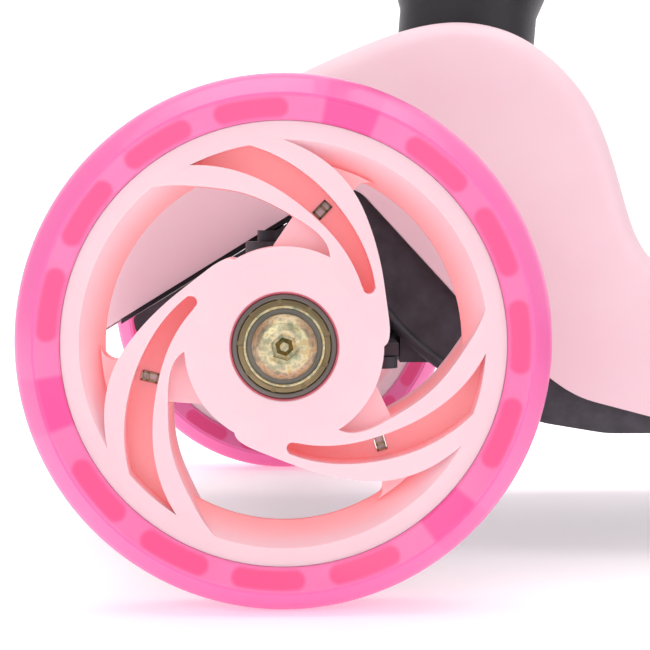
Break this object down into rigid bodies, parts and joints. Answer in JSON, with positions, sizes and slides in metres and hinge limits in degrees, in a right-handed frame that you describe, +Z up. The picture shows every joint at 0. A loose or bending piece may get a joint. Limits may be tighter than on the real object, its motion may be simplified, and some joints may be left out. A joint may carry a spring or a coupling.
{
  "type": "three-wheeled kick scooter",
  "caption": "Child's lean-to-steer kick scooter with two front wheels, a standing deck, a folding height-adjustable T-bar and a rear foot brake.",
  "frame": {"origin": "on the ground, in the middle of the scooter's length and width", "axes": "+X towards the tail, +Y towards the rider's right hand, +Z up"},
  "size_m": [0.56, 0.292, 0.6844],
  "materials": {
    "pink_plastic": "satin moulded plastic, pale pink",
    "pink_urethane": "translucent cast urethane, hot pink",
    "rear_urethane": "translucent cast urethane, pink",
    "black_plastic": "fine-grained black moulded plastic",
    "deck_rubber": "ribbed anti-slip rubber",
    "grip_rubber": "soft pink rubber with fine rings",
    "yellow_zinc": "yellow-passivated zinc plating",
    "zinc_steel": "bright zinc-plated steel",
    "black_steel": "black-oxide steel",
    "pink_button": "pink moulded plastic",
    "tube_aluminium": "satin black powder coat",
    "led_white": "clear lamp blocks with metal clips"
  },
  "bodies": {
    "frame": {"lower_frame": "black_plastic", "front_cover": "pink_plastic", "cover_screws": "black_steel", "axle_beam": "black_plastic", "beam_bolts": "zinc_steel", "kingpins": "zinc_steel", "lean_pivot_pin": "zinc_steel", "centring_springs": "zinc_steel", "deck": "black_plastic", "deck_mat": "deck_rubber", "rear_fork": "black_plastic", "fork_screws": "zinc_steel", "rear_bearing_inner": "zinc_steel", "rear_axle_sleeve": "zinc_steel", "rear_axle_spacers": "zinc_steel", "rear_axle_bolt": "zinc_steel", "rear_axle_nut": "zinc_steel", "brake_lugs": "black_plastic", "brake_pin": "zinc_steel", "brake_spring": "zinc_steel"},
    "steering_post": {"steering_post": "black_plastic", "post_shield": "black_plastic", "fold_base": "black_plastic", "fold_pin": "zinc_steel"},
    "tie_rod": {"tie_rod": "black_plastic"},
    "brake": {"brake_fender": "pink_button"},
    "rear_wheel": {"rear_tyre": "rear_urethane", "rear_wheel_core": "black_plastic", "rear_bearing_outer": "zinc_steel"},
    "column": {"fold_head": "black_plastic", "lower_tube": "tube_aluminium", "tube_clamp": "black_plastic", "clamp_bolt": "zinc_steel", "tube_bush": "black_plastic"},
    "fold_button": {"fold_button": "pink_button"},
    "clamp_lever": {"clamp_lever": "pink_button"},
    "handlebar": {"upper_tube": "tube_aluminium", "bar_joint": "black_plastic", "crossbar": "tube_aluminium", "grip_left": "grip_rubber", "grip_right": "grip_rubber"},
    "knuckle_left": {"knuckle_left": "black_plastic", "wheel_bolt_left": "yellow_zinc", "bearing_inner_left": "zinc_steel", "axle_sleeve_left": "zinc_steel", "magnet_ring_left": "black_steel"},
    "wheel_left": {"tyre_left": "pink_urethane", "wheel_core_left": "pink_plastic", "led_modules_left": "led_white", "bearing_outer_left": "zinc_steel"},
    "knuckle_right": {"knuckle_right": "black_plastic", "wheel_bolt_right": "yellow_zinc", "bearing_inner_right": "zinc_steel", "axle_sleeve_right": "zinc_steel", "magnet_ring_right": "black_steel"},
    "wheel_right": {"tyre_right": "pink_urethane", "wheel_core_right": "pink_plastic", "led_modules_right": "led_white", "bearing_outer_right": "zinc_steel"}
  },
  "joints": [
    {"name": "lean", "type": "hinge", "parent": "frame", "child": "steering_post", "pos_m": [-0.1755, 0, 0.078], "axis": [1, 0, 0], "range_deg": [-10, 10], "stiffness_Nm_per_rad": 30, "deforming": ["centring_springs"]},
    {"name": "tie_rod_shift", "type": "slide", "parent": "frame", "child": "tie_rod", "axis": [0, 1, 0], "range_m": [-0.0048, 0.0048]},
    {"name": "steer_left", "type": "hinge", "parent": "frame", "child": "knuckle_left", "pos_m": [-0.2225, -0.076, 0.0575], "axis": [0, 0, 1], "range_deg": [-12.5, 12.5]},
    {"name": "wheel_left_spin", "type": "hinge", "parent": "knuckle_left", "child": "wheel_left", "pos_m": [-0.2225, -0.11, 0.0575], "axis": [0, 1, 0], "continuous": true},
    {"name": "steer_right", "type": "hinge", "parent": "frame", "child": "knuckle_right", "pos_m": [-0.2225, 0.076, 0.0575], "axis": [0, 0, 1], "range_deg": [-12.5, 12.5]},
    {"name": "wheel_right_spin", "type": "hinge", "parent": "knuckle_right", "child": "wheel_right", "pos_m": [-0.2225, 0.11, 0.0575], "axis": [0, 1, 0], "continuous": true},
    {"name": "rear_wheel_spin", "type": "hinge", "parent": "frame", "child": "rear_wheel", "pos_m": [0.235, 0, 0.04], "axis": [0, 1, 0], "continuous": true},
    {"name": "brake_press", "type": "hinge", "parent": "frame", "child": "brake", "pos_m": [0.1765, 0, 0.066], "axis": [0, 1, 0], "range_deg": [0, 2.6], "stiffness_Nm_per_rad": 4, "springref_deg": -2.86},
    {"name": "fold", "type": "hinge", "parent": "steering_post", "child": "column", "pos_m": [-0.16852, 0, 0.17588], "axis": [0, 1, 0], "range_deg": [0, 88]},
    {"name": "fold_button_press", "type": "slide", "parent": "column", "child": "fold_button", "axis": [0.9969, 0, -0.0785], "range_m": [0, 0.003], "stiffness_N_per_m": 600, "springref_m": -0.001},
    {"name": "bar_height", "type": "slide", "parent": "column", "child": "handlebar", "axis": [0.0785, 0, 0.9969], "range_m": [0, 0.14]},
    {"name": "clamp_lever_swing", "type": "hinge", "parent": "column", "child": "clamp_lever", "pos_m": [-0.1219, -0.0122, 0.44957], "axis": [0.0785, 0, 0.9969], "range_deg": [0, 90]}
  ],
  "couplings": [
    {"joint": "tie_rod_shift", "follows": "lean", "m_per_rad": 0.026},
    {"joint": "steer_left", "follows": "lean", "ratio": 1.1818},
    {"joint": "steer_right", "follows": "lean", "ratio": 1.1818}
  ]
}
